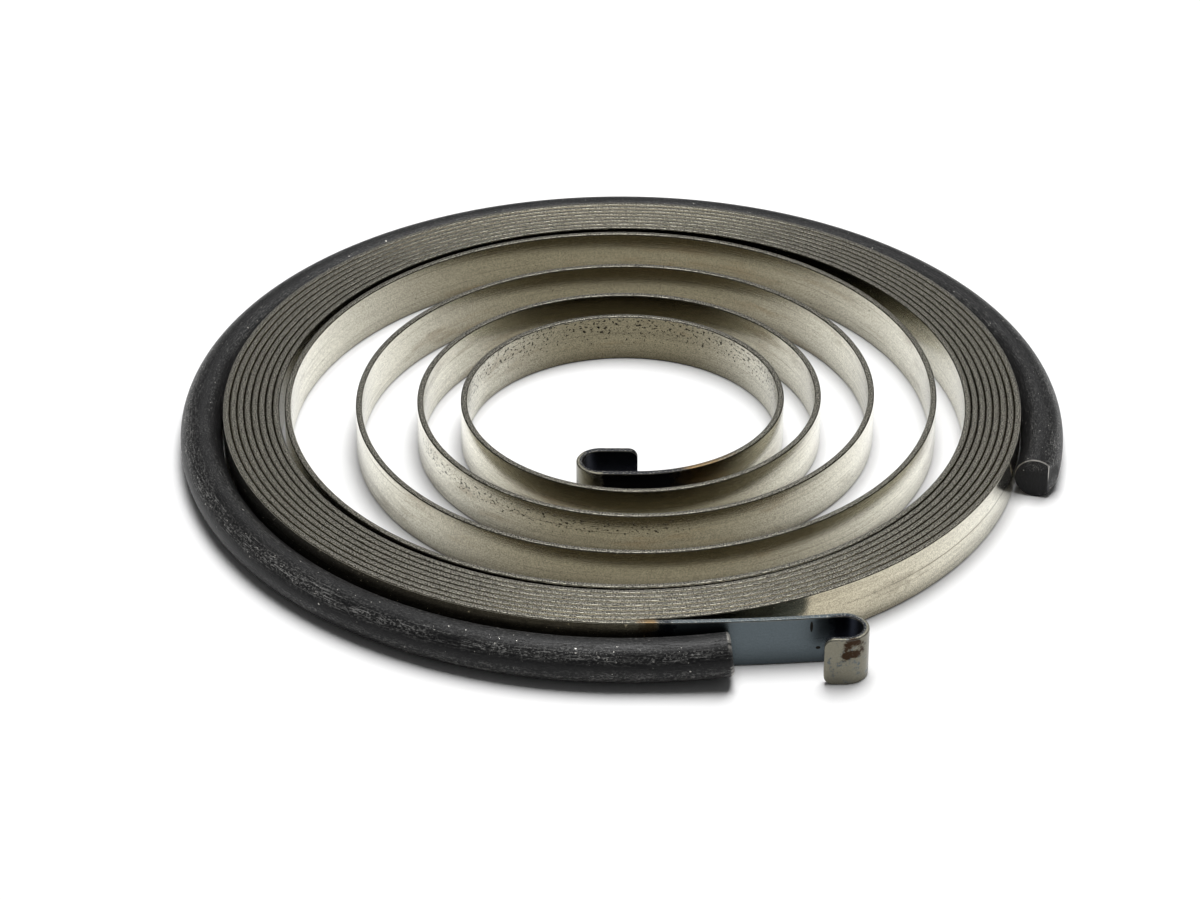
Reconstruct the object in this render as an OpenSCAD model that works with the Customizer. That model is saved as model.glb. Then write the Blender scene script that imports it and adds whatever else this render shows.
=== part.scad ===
// Flat spiral spring of strip steel with a hook at each end, wound up and held in an open wire ring.
// Millimetres. The strip stands on its edge at z = 0 and the wound pack's axis is Z. Seen from above the
// strip runs counterclockwise from the inner hook to the outer one, and -Y is the front.

/* [Strip] */
// Width of the strip, which stands upright
strip_w = 6; // [4:0.5:12]
// Thickness of the strip
strip_t = 0.75; // [0.4:0.05:0.8]
// Corner radius at the two ends of the strip
end_corner = 1.1; // [0.3:0.1:1.5]
// Depth by which each side of the strip is drawn in where a hook is bent
bend_draw = 0.015; // [0.01:0.005:0.05]

/* [Tight pack] */
// Turns between the inner and the outer hook
turns = 12; // [10:1:15]
// Distance from the axis to the middle of the strip where it leaves the pack
pack_r = 47.65; // [46:0.05:60]
// Air between neighbouring turns of the pack
pack_gap = 0.1; // [0.06:0.01:0.2]

/* [Loose turns] */
// Spacing of the turns along the front, from the innermost out to the pack
front_pitch = [3.8, 5.25, 7.6, 7, 1.15]; // [1:0.05:9]
// Spacing of the turns along the right side
right_pitch = [4.45, 6.4, 7.45, 4]; // [1:0.05:9]
// Spacing of the turns along the back
back_pitch = [5.2, 7.2, 8.15, 1.7]; // [1:0.05:9]
// Spacing of the turns along the left side
left_pitch = [5.2, 7.3, 8.5, 1.4]; // [1:0.05:9]

/* [Inner hook] */
// Straight length between the first turn and the inner bend
inner_lead = 4; // [1:0.25:8]
// Radius of the inner bend, to the middle of the strip
inner_bend = 2.5; // [1:0.1:4]
// Straight tail past the inner bend
inner_tail = 4.3; // [2:0.1:8]

/* [Outer hook] */
// Radius of the gentle curve that leads out of the pack
lead_r = 190; // [100:5:400]
// Length of that curve
lead_length = 24.4; // [15:0.2:40]
// Radius of the outer bend, to the middle of the strip
outer_bend = 2.35; // [1:0.05:4]
// Angle of the outer bend
outer_turn = 187; // [120:1:200]
// Straight tail past the outer bend
outer_tail = 2.35; // [1.6:0.05:8]

/* [Retaining ring] */
// Diameter of the ring's wire
wire_d = 5; // [2:0.25:6]
// Clearance between the pack and the ring
ring_gap = 0.15; // [0.05:0.01:0.5]
// Angle that the ring reaches past the right side, towards the front
ring_start = 14.5; // [2:0.5:60]
// Twist of the front left quarter out of the floor plane
rise_tilt = 0.35; // [0:0.05:2]
// Length of the ring's front end, beside the strip's lead-out
ring_end = 12.2; // [4:0.1:18]
// Bend radius of the front end
ring_end_r = 100; // [60:5:200]
// Twist of the front end out of the plane of the quarter before it
ring_end_tilt = 58; // [0:1:60]
// Chamfer round the front end's rim
rim_chamfer = 0.5; // [0.1:0.1:0.9]
// Width and length of the bevel on the right end's outer side
shear_bevel = [1.1, 2.4]; // [0.2:0.1:3]

/* [Hidden] */
$fn = 96;

// The strip is a chain of arcs. Joint 0 is at the front of the innermost turn, and the joints follow at the
// right, back, left and front of each turn. The pack grows by one quarter_step, in whole microns, at each.
pitches = [front_pitch, right_pitch, back_pitch, left_pitch];
joints = 4 * turns;
first_packed = len(front_pitch) + len(right_pitch) + len(back_pitch) + len(left_pitch);
first_half = 2 * ceil(first_packed / 2);
quarter_step = round(1000 * (strip_t + pack_gap) / 4) / 1000;

function side(i) = 270 + 90 * (i % 4);
function outward(i) = [[0, -1], [1, 0], [0, 1], [-1, 0]][i % 4];
// Distance from the axis to the middle of the strip at joint i
function reach(i) = i >= first_packed
    ? pack_r - quarter_step * (joints - i)
    : reach(i + 4) - pitches[i % 4][floor(i / 4)];
// Radius and centre of the quarter arc from joint i to joint i + 1, tangent to its neighbours
function arc_r(i) = i >= first_packed
    ? reach(i) + quarter_step * ((i + 1) % 2)
    : reach(i) + reach(i + 2) - arc_r(i + 1);
function arc_c(i) = (reach(i) - arc_r(i)) * outward(i) + (reach(i + 1) - arc_r(i)) * outward(i + 1);

last = joints - 1;
lead_turn = lead_length / lead_r * 180 / PI;
wire_r = wire_d / 2;
// Radius of the wire's middle along the ring's right half and left half
right_r = arc_r(last - 2) + strip_t / 2 + ring_gap + wire_r;
left_r = arc_r(last) + strip_t / 2 + ring_gap + wire_r;
ring_end_turn = ring_end / ring_end_r * 180 / PI;
cut = 2 * wire_d;
// Angle by which a hook's bend runs into the strip at each of its ends
bend_root = 2;

// Section of the strip, upright on the floor
module section() {
    translate([-strip_t / 2, 0]) square([strip_t, strip_w]);
}

// Arc of the strip about the local origin
module bend(r, start, angle) {
    rotate_extrude(start = start, angle = angle) translate([r, 0]) section();
}

// Bend of a hook, drawn in on all sides
module hook_bend(r, start, angle) {
    rotate_extrude(start = start - bend_root, angle = angle + 2 * bend_root)
        translate([r - strip_t / 2 + bend_draw, bend_draw])
            square([strip_t - 2 * bend_draw, strip_w - 2 * bend_draw]);
}

// Straight run of the strip at x = r, towards -Y
module run(r, length) {
    translate([r, 0]) rotate([90, 0, 0]) linear_extrude(length) section();
}

// Straight end of the strip at x = r, towards -Y, with its two corners rounded
module tail(r, length) {
    translate([r - strip_t / 2, 0]) rotate([90, 0, 90]) linear_extrude(strip_t) {
        translate([end_corner - length, 0]) square([length - end_corner, strip_w]);
        translate([-length, end_corner]) square([length, strip_w - 2 * end_corner]);
        for (z = [end_corner, strip_w - end_corner])
            translate([end_corner - length, z]) circle(end_corner);
    }
}

module inner_hook() {
    translate([arc_c(0).x, -reach(0)]) rotate([0, 0, 270]) {
        run(0, inner_lead);
        translate([-inner_bend, -inner_lead]) {
            hook_bend(inner_bend, 180, 180);
            rotate([0, 0, 180]) tail(inner_bend, inner_tail);
        }
    }
}

module outer_hook() {
    translate(arc_c(last)) rotate([0, 0, 270]) translate([arc_r(last) - lead_r, 0]) {
        bend(lead_r, 0, lead_turn);
        rotate([0, 0, lead_turn]) translate([lead_r + outer_bend, 0]) {
            hook_bend(outer_bend, 180 - outer_turn, outer_turn);
            rotate([0, 0, 180 - outer_turn]) tail(outer_bend, outer_tail);
        }
    }
}

module spiral_spring() {
    color("silver") {
        inner_hook();
        // Loose turns, a quarter at a time
        for (i = [0 : first_half - 1])
            translate(arc_c(i)) bend(arc_r(i), side(i), 90);
        // The pack's turns share one centre on each half
        for (first = [first_half, first_half + 2])
            translate(arc_c(first)) rotate_extrude(start = side(first), angle = 180)
                for (i = [first : 4 : last])
                    translate([arc_r(i), 0]) section();
        outer_hook();
    }
}

// Arc of the wire about the local origin. The seam of its surface turns back by the twist that the arc is given,
// so that it runs on from arc to arc.
module wire(r, start, angle, twisted = 0) {
    rotate_extrude(start = start, angle = angle) translate([r, 0]) rotate(twisted) circle(wire_r);
}

// Turns what follows by an angle about the wire where it crosses the local X axis at radius r
module twist(r, angle) {
    translate([r, 0]) rotate([0, angle, 0]) translate([-r, 0]) children();
}

// Right half of the ring, with a bevel sheared on the outer side of its end
module right_half() {
    difference() {
        wire(right_r, -ring_start, 90 + ring_start);
        rotate([0, 0, -ring_start]) translate([right_r + wire_r - shear_bevel.x, 0, -wire_r])
            rotate([0, 0, -atan2(shear_bevel.x, shear_bevel.y)]) translate([0, -cut / 2]) cube([cut, cut, wire_d]);
    }
}

// Front end of the ring, curving up beside the lead-out, with a chamfered rim
module front_end() {
    difference() {
        wire(ring_end_r, 0, ring_end_turn, rise_tilt + ring_end_tilt);
        rotate([0, 0, ring_end_turn]) translate([ring_end_r, 0]) rotate([90, 0, 0]) difference() {
            translate([0, 0, -rim_chamfer]) cylinder(h = 3 * rim_chamfer, r = cut);
            translate([0, 0, -rim_chamfer])
                cylinder(h = 3 * rim_chamfer, r1 = wire_r - 2 * rim_chamfer, r2 = wire_r + rim_chamfer);
        }
    }
}

module retaining_ring() {
    color("dimgray") {
        translate([arc_c(last - 2).x, arc_c(last - 2).y, wire_r]) right_half();
        translate([arc_c(last).x, arc_c(last).y, wire_r]) {
            wire(left_r, 90, 90);
            rotate([0, 0, 180]) twist(left_r, rise_tilt) {
                wire(left_r, 0, 90, rise_tilt);
                rotate([0, 0, 90]) translate([left_r - ring_end_r, 0]) twist(ring_end_r, ring_end_tilt) front_end();
            }
        }
    }
}

spiral_spring();
retaining_ring();
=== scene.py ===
"""The spiral spring and its retaining ring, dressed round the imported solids."""
import math

import bmesh
import bpy
import numpy as np
from mathutils import Matrix, Vector


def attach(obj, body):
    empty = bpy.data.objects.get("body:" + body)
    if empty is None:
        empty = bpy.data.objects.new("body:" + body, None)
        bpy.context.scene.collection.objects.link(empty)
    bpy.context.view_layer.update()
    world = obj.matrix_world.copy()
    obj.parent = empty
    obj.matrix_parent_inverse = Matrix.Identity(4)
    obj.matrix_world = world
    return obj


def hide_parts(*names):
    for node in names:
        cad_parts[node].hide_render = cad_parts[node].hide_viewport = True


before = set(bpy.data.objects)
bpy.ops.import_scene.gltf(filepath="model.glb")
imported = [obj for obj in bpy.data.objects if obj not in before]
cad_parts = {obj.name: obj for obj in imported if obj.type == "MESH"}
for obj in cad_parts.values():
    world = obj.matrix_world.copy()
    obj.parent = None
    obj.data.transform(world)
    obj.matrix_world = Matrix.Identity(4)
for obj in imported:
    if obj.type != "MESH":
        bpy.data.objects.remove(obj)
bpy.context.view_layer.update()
bpy.ops.object.select_all(action="DESELECT")

# The spring is one strip of spring steel, cold rolled with rounded edges and wound from the inner hook out.
# Its section is drawn along the same bends here, arc after arc, in millimetres.
MM = 0.001
STRIP_W = 6.0
STRIP_T = 0.75
EDGE_R = 0.17
EDGE_STEPS = 4
END_CORNER = 1.1
CORNER_STEPS = 6
TURNS = 12
PACK_R = 47.65
PACK_GAP = 0.1
# Spacing of the turns along the front, right, back and left, from the innermost outwards
PITCHES = [
    [3.8, 5.25, 7.6, 7.0, 1.15],
    [4.45, 6.4, 7.45, 4.0],
    [5.2, 7.2, 8.15, 1.7],
    [5.2, 7.3, 8.5, 1.4],
]
INNER_LEAD, INNER_BEND, INNER_TAIL = 4.0, 2.5, 4.3
LEAD_R, LEAD_LENGTH = 190.0, 24.4
OUTER_BEND, OUTER_TURN, OUTER_TAIL = 2.35, 187.0, 2.35
STEP_DEG = 3.0
BEND_STEPS = 30
LEAD_STEPS = 12
STRIP_SMOOTH_DEG = 50
# Points whose noted lengths differ by less than this are in one section
SAME_PLACE = 0.02
# An angle of an arc that rounding takes below zero stays within this, in radians
START_SLACK = 0.1

joints = 4 * TURNS
first_packed = sum(len(pitch) for pitch in PITCHES)
first_half = 2 * math.ceil(first_packed / 2)
quarter_step = round((STRIP_T + PACK_GAP) / 4, 3)
OUTWARD = [Vector((0, -1, 0)), Vector((1, 0, 0)), Vector((0, 1, 0)), Vector((-1, 0, 0))]


def reach(i):
    """Distance from the axis to the strip's middle at joint i, at the front, right, back or left."""
    if i >= first_packed:
        return PACK_R - quarter_step * (joints - i)
    return reach(i + 4) - PITCHES[i % 4][i // 4]


def arc_r(i):
    """Radius of the strip's quarter arc from joint i to the next."""
    if i >= first_packed:
        return reach(i) + quarter_step * ((i + 1) % 2)
    return reach(i) + reach(i + 2) - arc_r(i + 1)


def arc_c(i):
    """Centre of that arc."""
    return (reach(i) - arc_r(i)) * OUTWARD[i % 4] + (reach(i + 1) - arc_r(i)) * OUTWARD[(i + 1) % 4]


def picked_middle(piece):
    """Middle of the section that is selected, in millimetres."""
    picked = [v.co for v in bmesh.from_edit_mesh(piece.data).verts if v.select]
    return sum(picked, Vector()) / len(picked) / MM


def note_length(piece, wound, length_at):
    """New vertices start with the length of the section they were drawn from, and get their own here."""
    mesh = bmesh.from_edit_mesh(piece.data)
    along = mesh.verts.layers.float["along"]
    for v in mesh.verts:
        if abs(v[along] - wound) < SAME_PLACE:
            v[along] = wound + length_at(v.co / MM)
    bmesh.update_edit_mesh(piece.data)


def draw_arc(piece, wound, centre, sweep_deg, steps, axis=(0, 0, 1)):
    """Spins the selected section about a centre, and returns the length drawn so far."""
    axis = Vector(axis).normalized()
    first = picked_middle(piece) - centre
    first -= axis * first.dot(axis)
    sweep = math.radians(sweep_deg)

    def length_at(place):
        arm = place - centre
        angle = math.atan2(axis.dot(first.cross(arm)), first.dot(arm)) * math.copysign(1, sweep)
        return first.length * (angle + 2 * math.pi if angle < -START_SLACK else angle)

    # With no window, spin turns the other way
    bpy.ops.mesh.spin(steps=steps, angle=-sweep, center=centre * MM, axis=axis)
    note_length(piece, wound, length_at)
    return wound + first.length * abs(sweep)


def draw_run(piece, wound, direction, length):
    """Draws the selected section straight on, and returns the length drawn so far."""
    start = picked_middle(piece)
    move = {"value": direction * length * MM}
    bpy.ops.mesh.extrude_region_move(TRANSFORM_OT_translate=move)
    note_length(piece, wound, lambda place: max((place - start).dot(direction), 0))
    return wound + length


NOTES = ("along", "across", "height", "around")


def open_section(piece, girth_from):
    """Notes each point's place round the section, from girth_from on, and leaves the bare outline."""
    middle = sum((v.co for v in piece.data.vertices), Vector()) / len(piece.data.vertices)

    def bearing(v):
        spoke = v.co - middle
        flat = spoke.y if abs(spoke.y) > abs(spoke.x) else spoke.x
        return (math.atan2(spoke.z, flat) - girth_from) % (2 * math.pi)

    for name in NOTES:
        piece.data.attributes.new(name, "FLOAT", "POINT")
    in_order = sorted(piece.data.vertices, key=bearing)
    gone, before = 0.0, in_order[0].co
    for v in in_order:
        gone += (v.co - before).length / MM
        before = v.co
        piece.data.attributes["around"].data[v.index].value = gone
    bpy.ops.object.mode_set(mode="EDIT")
    bpy.ops.mesh.select_all(action="SELECT")
    bpy.ops.mesh.delete(type="ONLY_FACE")
    bpy.ops.mesh.select_all(action="SELECT")
    return gone + (in_order[0].co - before).length / MM


def note_section(piece, middle, outward):
    """Notes each point's place across the section and up it."""
    mesh = bmesh.from_edit_mesh(piece.data)
    across = mesh.verts.layers.float["across"]
    height = mesh.verts.layers.float["height"]
    for v in mesh.verts:
        v[across] = (v.co / MM - middle).dot(outward)
        v[height] = v.co.z / MM
    bmesh.update_edit_mesh(piece.data)


def corner_insets():
    """Length from the strip's end and half width, point by point round the rounded corner."""
    for k in range(CORNER_STEPS + 1):
        a = math.pi / 2 * k / CORNER_STEPS
        yield END_CORNER * (1 - math.cos(a)), STRIP_W / 2 - END_CORNER * (1 - math.sin(a))


hook_y = -reach(0) + 2 * INNER_BEND
bend_x = arc_c(0).x - INNER_LEAD
tail_end = Vector((bend_x + INNER_TAIL, hook_y, STRIP_W / 2))
bpy.ops.mesh.primitive_plane_add(size=1, location=tail_end * MM, rotation=(0, math.pi / 2, 0))
strip = bpy.context.object
strip.name = "strip"
bpy.ops.object.transform_apply(location=True, rotation=True, scale=True)
bpy.ops.object.mode_set(mode="EDIT")
bpy.ops.mesh.select_all(action="SELECT")
bpy.ops.transform.resize(value=(1, STRIP_T * MM, STRIP_W * MM), center_override=tail_end * MM)
bpy.ops.mesh.bevel(offset=EDGE_R * MM, segments=EDGE_STEPS, affect="VERTICES")
bpy.ops.object.mode_set(mode="OBJECT")
strip_girth = open_section(strip, -math.pi / 2)
note_section(strip, tail_end, Vector((0, 1, 0)))

insets = list(corner_insets())
bpy.ops.transform.resize(value=(1, 1, insets[0][1] / (STRIP_W / 2)), center_override=tail_end * MM)
wound = 0.0
for (far, low), (near, high) in zip(insets, insets[1:]):
    wound = draw_run(strip, wound, Vector((-1, 0, 0)), near - far)
    bpy.ops.transform.resize(value=(1, 1, high / low), center_override=tail_end * MM)
wound = draw_run(strip, wound, Vector((-1, 0, 0)), INNER_TAIL - END_CORNER)
inner_bend_at = wound
wound = draw_arc(strip, wound, Vector((bend_x, hook_y - INNER_BEND, 0)), 180, BEND_STEPS)
inner_lead_at = wound
wound = draw_run(strip, wound, Vector((1, 0, 0)), INNER_LEAD)
joint_at = {}
for i in range(first_half):
    joint_at[i] = wound
    wound = draw_arc(strip, wound, arc_c(i), 90, int(90 / STEP_DEG))
for i in range(first_half, joints, 2):
    joint_at[i] = wound
    wound = draw_arc(strip, wound, arc_c(i), 180, int(180 / STEP_DEG))
lead_at = wound
lead_turn = LEAD_LENGTH / LEAD_R
lead_c = arc_c(joints - 1) + Vector((0, LEAD_R - arc_r(joints - 1), 0))
wound = draw_arc(strip, wound, lead_c, math.degrees(lead_turn), LEAD_STEPS)
outer_bend_at = wound
lead_end = picked_middle(strip)
off_lead = Vector((math.sin(lead_turn), -math.cos(lead_turn), 0))
wound = draw_arc(strip, wound, lead_end + OUTER_BEND * off_lead, -OUTER_TURN, BEND_STEPS)
heading = lead_turn - math.radians(OUTER_TURN)
tail_way = Vector((math.cos(heading), math.sin(heading), 0))
wound = draw_run(strip, wound, tail_way, OUTER_TAIL - END_CORNER)
insets.reverse()
for (near, high), (far, low) in zip(insets, insets[1:]):
    wound = draw_run(strip, wound, tail_way, near - far)
    bpy.ops.transform.resize(value=(1, 1, low / high), center_override=tail_end * MM)
strip_length = wound
bpy.ops.mesh.select_all(action="SELECT")
bpy.ops.mesh.fill_holes(sides=0)
bpy.ops.mesh.select_all(action="SELECT")
bpy.ops.mesh.normals_make_consistent(inside=False)
bpy.ops.object.mode_set(mode="OBJECT")
bpy.ops.object.shade_smooth_by_angle(angle=math.radians(STRIP_SMOOTH_DEG))
bpy.ops.object.modifier_add(type="WEIGHTED_NORMAL")
strip.modifiers[-1].keep_sharp = True
bpy.ops.object.modifier_apply(modifier=strip.modifiers[-1].name)

# The bake's page holds the straight stock in rows, with room between them, at their ends and round the page
ROW_ROOM = 1.12
END_ROOM = 1.06
PAGE_MARGIN = 1.0


def lay_out(piece, length, girth):
    """Keeps each vertex's place on the straight stock, and cuts its skin into rows for the bake."""
    count = len(piece.data.vertices)
    values = {}
    for name in NOTES:
        values[name] = np.zeros(count, np.float32)
        piece.data.attributes[name].data.foreach_get("value", values[name])
    places = np.stack([values["along"], values["across"], values["height"]], axis=1)
    unwound = piece.data.attributes.new("unwound", "FLOAT_VECTOR", "POINT")
    unwound.data.foreach_set("vector", places.ravel())
    rows = max(1, round(math.sqrt(length / girth)))
    row_length, row_height = length / rows, ROW_ROOM * girth
    side = max(END_ROOM * row_length, (rows + 1) * row_height)
    skin = piece.data.uv_layers.new(name="OFBake")
    for face in piece.data.polygons:
        corners = list(face.loop_indices)
        points = [piece.data.loops[c].vertex_index for c in corners]
        row = min(int(min(values["along"][points]) / row_length), rows - 1)
        top = max(values["around"][points])
        is_cap = len(points) > 4
        for c, p in zip(corners, points):
            around = values["around"][p]
            if top - around > girth / 2:
                around += girth
            u, v = values["along"][p] - row * row_length, row * row_height + around
            if is_cap:
                cap_at = STRIP_W if values["along"][p] < length / 2 else 4 * STRIP_W
                u, v = cap_at + values["across"][p], rows * row_height + values["height"][p]
            skin.data[c].uv = ((u + PAGE_MARGIN) / side, (v + PAGE_MARGIN) / side)
    for name in NOTES:
        piece.data.attributes.remove(piece.data.attributes[name])


lay_out(strip, strip_length, strip_girth)


class Value:
    """An output of a finish's nodes. Arithmetic on it adds Math nodes."""

    def __init__(self, finish, socket):
        self.finish, self.socket = finish, socket

    def math(self, operation, first, second=0.0):
        return self.finish.node("Math", {"operation": operation}, {0: first, 1: second})

    def __add__(self, other):
        return self.math("ADD", self, other)

    def __sub__(self, other):
        return self.math("SUBTRACT", self, other)

    def __mul__(self, other):
        return self.math("MULTIPLY", self, other)

    def __rsub__(self, other):
        return self.math("SUBTRACT", other, self)

    __radd__, __rmul__ = __add__, __mul__

    def __abs__(self):
        return self.math("ABSOLUTE", self)

    def __or__(self, other):
        return self.math("MAXIMUM", self, other)

    def ramp(self, low, high):
        """0 below low and 1 above high, or the other way round where low is the greater."""
        sockets = {"Value": self, "From Min": low, "From Max": high}
        return self.finish.node("MapRange", {"interpolation_type": "SMOOTHSTEP"}, sockets)

    def band(self, low, high, soft):
        """1 between low and high, with soft ends."""
        return self.ramp(low - soft, low + soft) * self.ramp(high + soft, high - soft)

    def spot(self, middle, size):
        """Squared distance from a place, in spot sizes."""
        off = (self - middle) * (1 / size)
        return off * off


class Finish:
    """A material and its nodes."""

    def __init__(self, name):
        self.material = bpy.data.materials.new(name)
        self.material.use_nodes = True
        self.nodes = self.material.node_tree.nodes
        self.shader = self.nodes["Principled BSDF"]

    def put(self, socket, value):
        if isinstance(value, Value):
            self.material.node_tree.links.new(value.socket, socket)
        else:
            socket.default_value = value

    def node(self, kind, settings, sockets, out=0):
        """A node of that kind, with its settings and the values or links of its sockets."""
        made = self.nodes.new("ShaderNode" + kind)
        for name, value in settings.items():
            setattr(made, name, value)
        for name, value in sockets.items():
            self.put(made.inputs[name], value)
        return Value(self, made.outputs[out])

    def dress(self, sockets):
        """Sets or links sockets of the material's own shader."""
        for name, value in sockets.items():
            self.put(self.shader.inputs[name], value)

    def unwound(self):
        """A point's place on the straight stock, and its length along, place across and height."""
        place = self.node("Attribute", {"attribute_name": "unwound"}, {}, out="Vector")
        return place, *(self.node("SeparateXYZ", {}, {0: place}, out=axis) for axis in "XYZ")

    def noise(self, place, per_mm, detail, rough):
        """Noise with that many lumps to the millimetre along, across and up."""
        spread = self.node("VectorMath", {"operation": "MULTIPLY"}, {0: place, 1: per_mm})
        sockets = {"Vector": spread, "Scale": 1.0, "Detail": detail, "Roughness": rough}
        return self.node("TexNoise", {}, sockets)

    def mix(self, share, low, high):
        """Colour low where share is 0 and high where it is 1."""
        low, high = ((*c, 1) if isinstance(c, tuple) else c for c in (low, high))
        return self.node("Mix", {"data_type": "RGBA"}, {0: share, 6: low, 7: high}, out=2)

    def times(self, colour, share):
        return self.node("VectorMath", {"operation": "SCALE"}, {0: colour, "Scale": share})

    def bump(self, height, distance):
        return self.node("Bump", {}, {"Height": height, "Distance": distance * MM})


STEEL_DULL = (0.165, 0.147, 0.098)
STEEL_OUTER_LIT = (0.42, 0.37, 0.26)
STEEL_BRIGHT = (0.74, 0.72, 0.62)
STAIN = (0.15, 0.105, 0.055)
SCRATCH = (0.085, 0.072, 0.05)
PIT = (0.012, 0.010, 0.008)
EDGE_DARK = (0.012, 0.011, 0.009)
EDGE_LIGHT = (0.32, 0.306, 0.258)
BOTTOM_CONTACT_SHADE = (0.03, 0.028, 0.022)
RIM = (0.42, 0.405, 0.35)
STRAW = (0.20, 0.13, 0.06)
BLUE_GREY = (0.085, 0.103, 0.113)
BLUE_BLACK = (0.012, 0.014, 0.021)
FLAKED = (0.175, 0.166, 0.13)
RUST = (0.032, 0.019, 0.011)
# Depths below the strip's edge between which a finish comes in
EDGE_DEPTHS = 0.07, 0.01
RIM_DEPTHS = 1.1 * EDGE_R, 0.6 * EDGE_R
# Heights above the floor below which the strip's bottom is darkened as painted contact shadow
CONTACT_SHADE_HEIGHTS = 0.24, 0.10
# Where the heat marks lie, in millimetres from the inner end and from the outer bend
INNER_STRAW = 19.0, 27.0
INNER_SCALE = 24.0, 20.5
OUTER_STRAW = -22.4, -20.6
OUTER_BLUE = -21.2, -19.6
OUTER_FRINGE = -20.4, -19.0
OUTER_SCALE = -2.2, -0.4
STEEL_RELIEF = 0.012

steel = Finish("rolled_spring_steel")
place, along, across, height = steel.unwound()
outer_side = across.ramp(-0.1, 0.1)
from_edge = STRIP_W / 2 - abs(height - STRIP_W / 2)
on_edge = from_edge.ramp(*EDGE_DEPTHS)
on_rim = from_edge.ramp(*RIM_DEPTHS) * (1 - on_edge)
streaks = steel.noise(place, per_mm=(0.02, 2.0, 4.0), detail=4.0, rough=0.6)
brushed = steel.noise(place, per_mm=(0.3, 4.0, 14.0), detail=3.0, rough=0.6)
cloud = steel.noise(place, per_mm=(0.09, 1.5, 0.40), detail=5.0, rough=0.62)
grain = steel.noise(place, per_mm=(4.5, 5.0, 4.5), detail=3.0, rough=0.7)
speckle = steel.noise(place, per_mm=(6.0, 6.0, 7.0), detail=2.0, rough=0.7)
ragged = steel.noise(place, per_mm=(0.7, 1.5, 0.9), detail=4.0, rough=0.65) - 0.5


def blot(at, half_length, up, half_height, raggedness):
    """Squared distance from the middle of a mark on the strip, 1 at its ragged outline."""
    return along.spot(at, half_length) + height.spot(up, half_height) + raggedness * ragged


# Faces: duller towards the inside and lighter out to the last turn, which is painted shade between the
# turns and painted light on the open outer face; streaked by the rolls, with hairline scratches, stains and
# pits
face = steel.mix(along.ramp(joint_at[first_half], lead_at), STEEL_DULL, STEEL_OUTER_LIT)
rolled = 0.22 + 0.44 * streaks + 0.42 * brushed + 0.70 * speckle.ramp(0.26, 0.74)
face = steel.times(face, rolled)
stained = cloud.ramp(0.50, 0.76) * 0.62
face = steel.mix(stained, face, STAIN)
hairs = steel.noise(place, per_mm=(0.035, 3.0, 9.0), detail=2.0, rough=0.5).ramp(0.62, 0.68)
last_turn_at = joint_at[joints - 4]
rolled_line = blot(at=last_turn_at + 55, half_length=28, up=3.3, half_height=0.12, raggedness=2)
old_stain = blot(at=last_turn_at + 34, half_length=4.0, up=3.0, half_height=1.1, raggedness=5)
marked = outer_side * (rolled_line.ramp(1.2, 0.6) * 0.7 | old_stain.ramp(1.6, -0.4) * 0.4)
face = steel.mix(hairs * 0.7 | marked, face, SCRATCH)
pitted_inside = along.band(joint_at[1] - 4, joint_at[3] + 4, soft=5) * height.ramp(1.0, 4.5)
pitted_outside = along.band(joint_at[7] + 4, joint_at[8] + 6, soft=4) * height.band(3.2, 5.4, soft=0.7)
pitted = (1 - outer_side) * pitted_inside | outer_side * pitted_outside
pits = steel.noise(place, per_mm=(2.2, 2.5, 3.2), detail=3.0, rough=0.6)
pits = (pits + 0.11 * pitted + 0.12 * ragged * pitted).ramp(0.69, 0.72)
face = steel.mix(pits, face, PIT)

# Edges: sheared, grainy and dark between two rims that rubbing has polished
edge = steel.mix(speckle.ramp(0.43, 0.62), EDGE_DARK, EDGE_LIGHT)
colour = steel.mix(on_rim * (0.55 + 0.45 * grain), face, RIM)
# Painted contact shadow: the bottom of the strip, where it meets the floor, is darkened
colour = steel.mix(height.ramp(*CONTACT_SHADE_HEIGHTS), colour, BOTTOM_CONTACT_SHADE)
colour = steel.mix(on_edge, colour, edge)

# Hooks: tempered soft for bending, so straw, blue and black scale lie where the heat was
inner_heat = along + 7 * ragged
colour = steel.mix(inner_heat.band(*INNER_STRAW, soft=2.5) * 0.8, colour, STRAW)
inner_scale = inner_heat.ramp(*INNER_SCALE)
outer_heat = along - outer_bend_at + 3 * ragged
colour = steel.mix(outer_heat.band(*OUTER_STRAW, soft=0.6) * 0.8, colour, STRAW)
outer_blue = outer_heat.ramp(*OUTER_BLUE)
outer_scale = outer_heat.ramp(*OUTER_SCALE) * outer_side
colour = steel.mix(outer_blue, colour, steel.times(BLUE_GREY, 0.75 + 0.5 * grain))
scale = inner_scale | outer_scale | outer_heat.band(*OUTER_FRINGE, soft=0.5) * 0.9
colour = steel.mix(scale * 0.97, colour, BLUE_BLACK)

# The bends have cracked the scale off, with a rust spot on the outer hook and two nicks before it
inner_cracks = along.band(inner_bend_at + 2, inner_lead_at + 0.3, soft=0.5) * outer_side
outer_cracks = along.ramp(outer_bend_at + 1.0, outer_bend_at + 2.2) * (1 - outer_side)
cracked = inner_cracks | outer_cracks
flakes = steel.noise(place, per_mm=(1.3, 1.5, 1.3), detail=4.0, rough=0.7)
flaking = (flakes + 0.25 * cracked - 0.25).ramp(0.30, 0.46) * cracked
colour = steel.mix(flaking, colour, steel.times(FLAKED, 0.7 + 0.6 * grain))
rusty = blot(at=strip_length - 2.9, half_length=1.2, up=4.7, half_height=1.3, raggedness=8)
colour = steel.mix(rusty.ramp(1.5, 0.3) * cracked, colour, RUST)
tall_nick = blot(at=outer_bend_at - 3.4, half_length=0.16, up=4.8, half_height=0.75, raggedness=2)
short_nick = blot(at=outer_bend_at - 2.6, half_length=0.28, up=2.0, half_height=0.2, raggedness=0)
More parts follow.
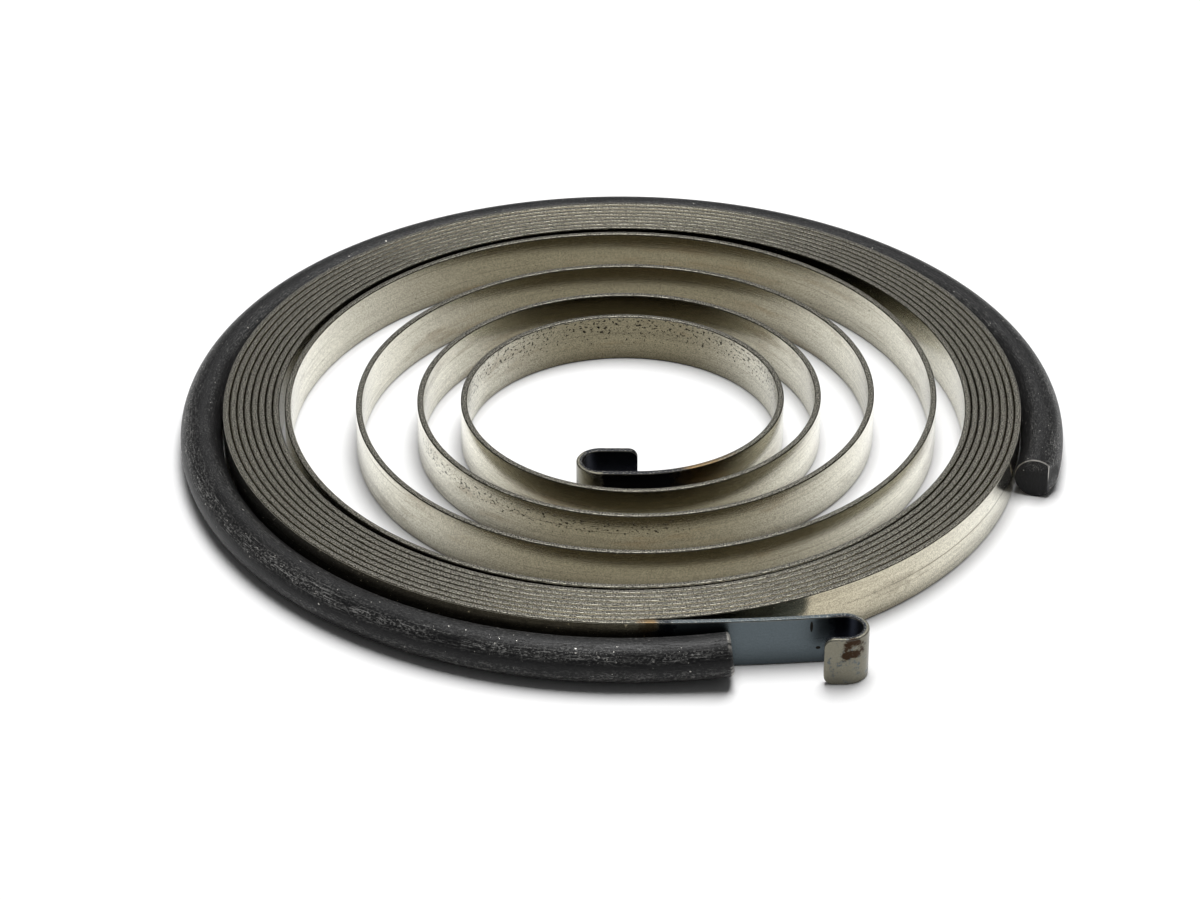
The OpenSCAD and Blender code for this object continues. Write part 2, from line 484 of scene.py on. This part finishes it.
nicks = (tall_nick.ramp(1.2, 0.7) | short_nick.ramp(1.2, 0.7)) * outer_side
colour = steel.mix(nicks, colour, PIT)
worn_edge = (on_rim | on_edge * grain.ramp(0.50, 0.62)) * (scale | outer_blue) * (0.15 + 0.5 * grain)
colour = steel.mix(worn_edge, colour, RIM)

# Rolled steel is dull seen square on and mirrors at a glance, except where it is marked, scaled or rough
rough = 0.09 + 0.05 * brushed + 0.06 * cloud + 0.26 * on_edge + 0.14 * (scale | outer_blue)
relief = 0.3 * brushed + 0.25 * speckle + on_edge * 1.5 * speckle - 3.0 * pits + 2.0 * flaking
skin = {"Metallic": 1.0, "Roughness": rough, "Normal": steel.bump(relief, STEEL_RELIEF)}
steel.dress({"Base Color": colour, **skin})
dull = Value(steel, steel.shader.outputs[0])
mirror = steel.node("BsdfPrincipled", {}, {"Base Color": steel.times(STEEL_BRIGHT, rolled), **skin})
glance = steel.node("LayerWeight", {}, {"Blend": 0.5}, out="Facing").ramp(0.15, 0.80)
dulled = on_edge | on_rim | scale | outer_blue | flaking | pits | stained | hairs * 0.6 | marked
shown = steel.node("MixShader", {}, {0: glance * (1 - dulled), 1: dull, 2: mirror})
steel.put(steel.nodes["Material Output"].inputs["Surface"], shown)
strip.data.materials.append(steel.material)
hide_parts("spiral_spring")
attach(strip, "root")

# The retaining ring is round wire with a black oxide skin, bent to an open ring and cropped at both ends.
# It lies on the floor round the pack, and its front end climbs a little beside the strip's lead-out.
WIRE_D = 5.0
RING_GAP = 0.15
RING_START = 14.5
RISE_TILT = 0.35
RING_END, RING_END_R, RING_END_TILT = 12.2, 100.0, 58.0
RIM_CHAMFER = 0.5
RIM_STEPS = 4
CUT_RIM = 0.12
SHEAR_BEVEL = 1.1, 2.4
WIRE_POINTS = 56
RIGHT_STEPS = 52
QUARTER_STEPS = 45
END_STEPS = 8
RING_SMOOTH_DEG = 40

wire_r = WIRE_D / 2
right_c = arc_c(joints - 3) + Vector((0, 0, wire_r))
left_c = arc_c(joints - 1) + Vector((0, 0, wire_r))
right_r = arc_r(joints - 3) + STRIP_T / 2 + RING_GAP + wire_r
start_turn = math.radians(-RING_START)
start_out = Vector((math.cos(start_turn), math.sin(start_turn), 0))
start_way = Vector((-start_out.y, start_out.x, 0))
ring_start_at = right_c + right_r * start_out


def pinch_wire(piece, way, before, after):
    """Brings the selected section of the wire from one radius to another about its own middle."""
    turn = way.to_track_quat("Z", "Y").to_matrix()
    size = after / before
    bpy.ops.transform.resize(
        value=(size, size, 1), orient_type="LOCAL", orient_matrix=turn, orient_matrix_type="LOCAL",
        center_override=picked_middle(piece) * MM,
    )


bpy.ops.object.select_all(action="DESELECT")
bpy.ops.mesh.primitive_circle_add(
    vertices=WIRE_POINTS, radius=wire_r * MM, fill_type="NGON", location=ring_start_at * MM,
    rotation=(math.pi / 2, 0, start_turn),
)
ring = bpy.context.object
ring.name = "ring"
bpy.ops.object.transform_apply(location=True, rotation=True, scale=True)
wire_girth = open_section(ring, -math.pi / 2)
note_section(ring, ring_start_at, start_out)
pinch_wire(ring, start_way, wire_r, wire_r - CUT_RIM)
drawn = draw_run(ring, 0.0, start_way, CUT_RIM)
pinch_wire(ring, start_way, wire_r - CUT_RIM, wire_r)
sweep = 90 + RING_START - math.degrees(CUT_RIM / right_r)
drawn = draw_arc(ring, drawn, right_c, sweep, RIGHT_STEPS)
drawn = draw_arc(ring, drawn, left_c, 90, QUARTER_STEPS)
tilted = Matrix.Rotation(math.radians(RISE_TILT), 3, (0, -1, 0))
lift = tilted @ Vector((0, 0, 1))
drawn = draw_arc(ring, drawn, left_c, 90, QUARTER_STEPS, lift)
# The front end leaves the ring's plane, curving upwards as well as inwards
end_tilt = math.radians(RING_END_TILT)
inward = math.cos(end_tilt) * Vector((0, 1, 0)) + math.sin(end_tilt) * lift
end_axis = math.cos(end_tilt) * lift - math.sin(end_tilt) * Vector((0, 1, 0))
end_turn = (RING_END - RIM_CHAMFER) / RING_END_R
end_c = picked_middle(ring) + RING_END_R * inward
drawn = draw_arc(ring, drawn, end_c, math.degrees(end_turn), END_STEPS, end_axis)
end_way = Matrix.Rotation(end_turn, 3, end_axis) @ (tilted @ Vector((1, 0, 0)))
rim_step = math.pi / 2 / RIM_STEPS
before = wire_r
for k in range(1, RIM_STEPS + 1):
    ahead = RIM_CHAMFER * (math.sin(k * rim_step) - math.sin((k - 1) * rim_step))
    after = wire_r - RIM_CHAMFER * (1 - math.cos(k * rim_step))
    drawn = draw_run(ring, drawn, end_way, ahead)
    pinch_wire(ring, end_way, before, after)
    before = after
ring_length = drawn
bpy.ops.mesh.select_all(action="SELECT")
bpy.ops.mesh.fill_holes(sides=0)
# The shears left a bevel on the outer side of the right end
bevel_turn = start_turn - math.atan2(SHEAR_BEVEL[0], SHEAR_BEVEL[1])
bevel_out = Vector((math.cos(bevel_turn), math.sin(bevel_turn), 0))
bevel_at = ring_start_at + (wire_r - SHEAR_BEVEL[0]) * start_out
mesh = bmesh.from_edit_mesh(ring.data)
for v in mesh.verts:
    v.select = (v.co / MM - ring_start_at).length < 2 * WIRE_D
mesh.select_flush_mode()
mesh.select_flush(True)
bmesh.update_edit_mesh(ring.data)
bpy.ops.mesh.bisect(plane_co=bevel_at * MM, plane_no=bevel_out, use_fill=True, clear_outer=True)
bpy.ops.mesh.select_all(action="SELECT")
bpy.ops.mesh.normals_make_consistent(inside=False)
bpy.ops.object.mode_set(mode="OBJECT")
bpy.ops.object.shade_smooth_by_angle(angle=math.radians(RING_SMOOTH_DEG))
lay_out(ring, ring_length, wire_girth)

OXIDE = (0.006, 0.006, 0.0065)
# Scuffed oxide, also used as a painted highlight and a painted floor reflection on the wire
OXIDE_WORN_AND_SHEEN = (0.42, 0.415, 0.40)
BARE = (0.58, 0.56, 0.52)
OXIDE_GLOSS = 0.20
WIRE_RELIEF = 0.025

# The oxide is scuffed along the top and the outer side, and is lighter there partly as a painted highlight
# on the top and a painted floor reflection low on the outer side; it is chipped in places and bare on the
# rims of both ends
black = Finish("black_oxide")
place, along, across, height = black.unwound()
die_lines = black.noise(place, per_mm=(0.14, 5.0, 5.0), detail=4.0, rough=0.65)
grit = black.noise(place, per_mm=(3.0, 5.0, 5.0), detail=3.0, rough=0.75)
scratches = black.noise(place, per_mm=(0.45, 9.0, 9.0), detail=4.0, rough=0.75).ramp(0.565, 0.63)
patches = black.noise(place, per_mm=(0.11, 0.5, 0.5), detail=4.0, rough=0.6)
chips = black.noise(place, per_mm=(2.0, 2.4, 2.4), detail=2.0, rough=0.6)
# Bands of wear that also carry a painted highlight on the top and a painted floor reflection low on the
# outer side
top_band = height.band(3.7, 4.7, soft=0.6) * across.ramp(-1.7, -0.8)
side_band = height.band(0.8, 2.4, soft=0.6) * across.ramp(1.2, 2.0)
rubbed_and_sheen = (top_band | side_band * 0.7) * patches.ramp(0.28, 0.58)
scuffs_and_sheen = die_lines.ramp(0.45, 0.75) * 0.10 + scratches * 0.60 + grit.ramp(0.50, 0.63) * 0.45
scuffs_and_sheen = scuffs_and_sheen * (0.05 + 0.95 * rubbed_and_sheen)
colour = black.mix(scuffs_and_sheen, OXIDE, OXIDE_WORN_AND_SHEEN)
chipped = (chips + 0.05 * rubbed_and_sheen).ramp(0.72, 0.75)
colour = black.mix(chipped, colour, BARE)
cut_rim = along.ramp(CUT_RIM + 0.05, CUT_RIM - 0.02) * along.ramp(0.0, 0.04) * height.ramp(2.0, 3.2)
end_rim = along.ramp(ring_length - RIM_CHAMFER, ring_length - RIM_CHAMFER / 2) * patches.ramp(0.40, 0.55)
bare = cut_rim | end_rim * 0.6
colour = black.mix(bare, colour, BARE)
black.dress({
    "Base Color": colour,
    "Metallic": bare | chipped,
    "Specular IOR Level": OXIDE_GLOSS,
    "Roughness": 0.30 + 0.20 * patches,
    "Normal": black.bump(0.4 * die_lines + scratches + grit, WIRE_RELIEF),
})
ring.data.materials.append(black.material)
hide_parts("retaining_ring")
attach(ring, "root")

# The stage is a plain white floor in a dim room. A softbox hangs almost overhead and a dim panel stands at
# the back, and the camera looks down from the front.
FLOOR_SIZE = 6.0
FLOOR_WHITE = (0.90, 0.90, 0.90, 1)
FLOOR_ROUGH, FLOOR_GLOSS = 0.9, 0.1
ROOM_LEVEL = 0.10
# Place, width and depth, and power
SOFTBOXES = {
    "top_softbox": ((0.04, 0.12, 0.60), (0.34, 0.50), 5.2),
    "back_panel": ((0.0, 0.80, 0.52), (0.50, 0.40), 0.5),
}
CAMERA_AT = Vector((0, -0.46989, 0.29445))
AIM = Vector((-0.002812, -0.002577, 0))
ROLL_DEG = 0.137
SENSOR_W = 36.0
FOCAL_PIXELS, IMAGE_W = 4612.3, 1200
NEAREST = 0.01

bpy.ops.mesh.primitive_plane_add(size=FLOOR_SIZE)
floor = bpy.context.object
floor.name = "floor"
paper = Finish("white_paper")
paper.dress({"Base Color": FLOOR_WHITE, "Roughness": FLOOR_ROUGH, "Specular IOR Level": FLOOR_GLOSS})
floor.data.materials.append(paper.material)

for name, (at, size, power) in SOFTBOXES.items():
    bpy.ops.object.light_add(type="AREA", location=at)
    softbox = bpy.context.object
    softbox.name = name
    softbox.data.shape = "RECTANGLE"
    softbox.data.size, softbox.data.size_y = size
    softbox.data.energy = power
    softbox.rotation_mode = "QUATERNION"
    softbox.rotation_quaternion = (-softbox.location).to_track_quat("-Z", "Y")

room = bpy.data.worlds.new("room")
room.use_nodes = True
room.node_tree.nodes["Background"].inputs["Color"].default_value = (1, 1, 1, 1)
room.node_tree.nodes["Background"].inputs["Strength"].default_value = ROOM_LEVEL
bpy.context.scene.world = room

bpy.ops.object.camera_add(location=CAMERA_AT)
camera = bpy.context.object
camera.data.sensor_width = SENSOR_W
camera.data.lens = SENSOR_W * FOCAL_PIXELS / IMAGE_W
camera.data.clip_start = NEAREST
camera.rotation_mode = "QUATERNION"
camera.rotation_quaternion = (
    (AIM - CAMERA_AT).to_track_quat("-Z", "Y")
    @ Matrix.Rotation(math.radians(ROLL_DEG), 3, "Z").to_quaternion()
)
bpy.context.scene.camera = camera
bpy.context.scene.view_settings.view_transform = "Standard"
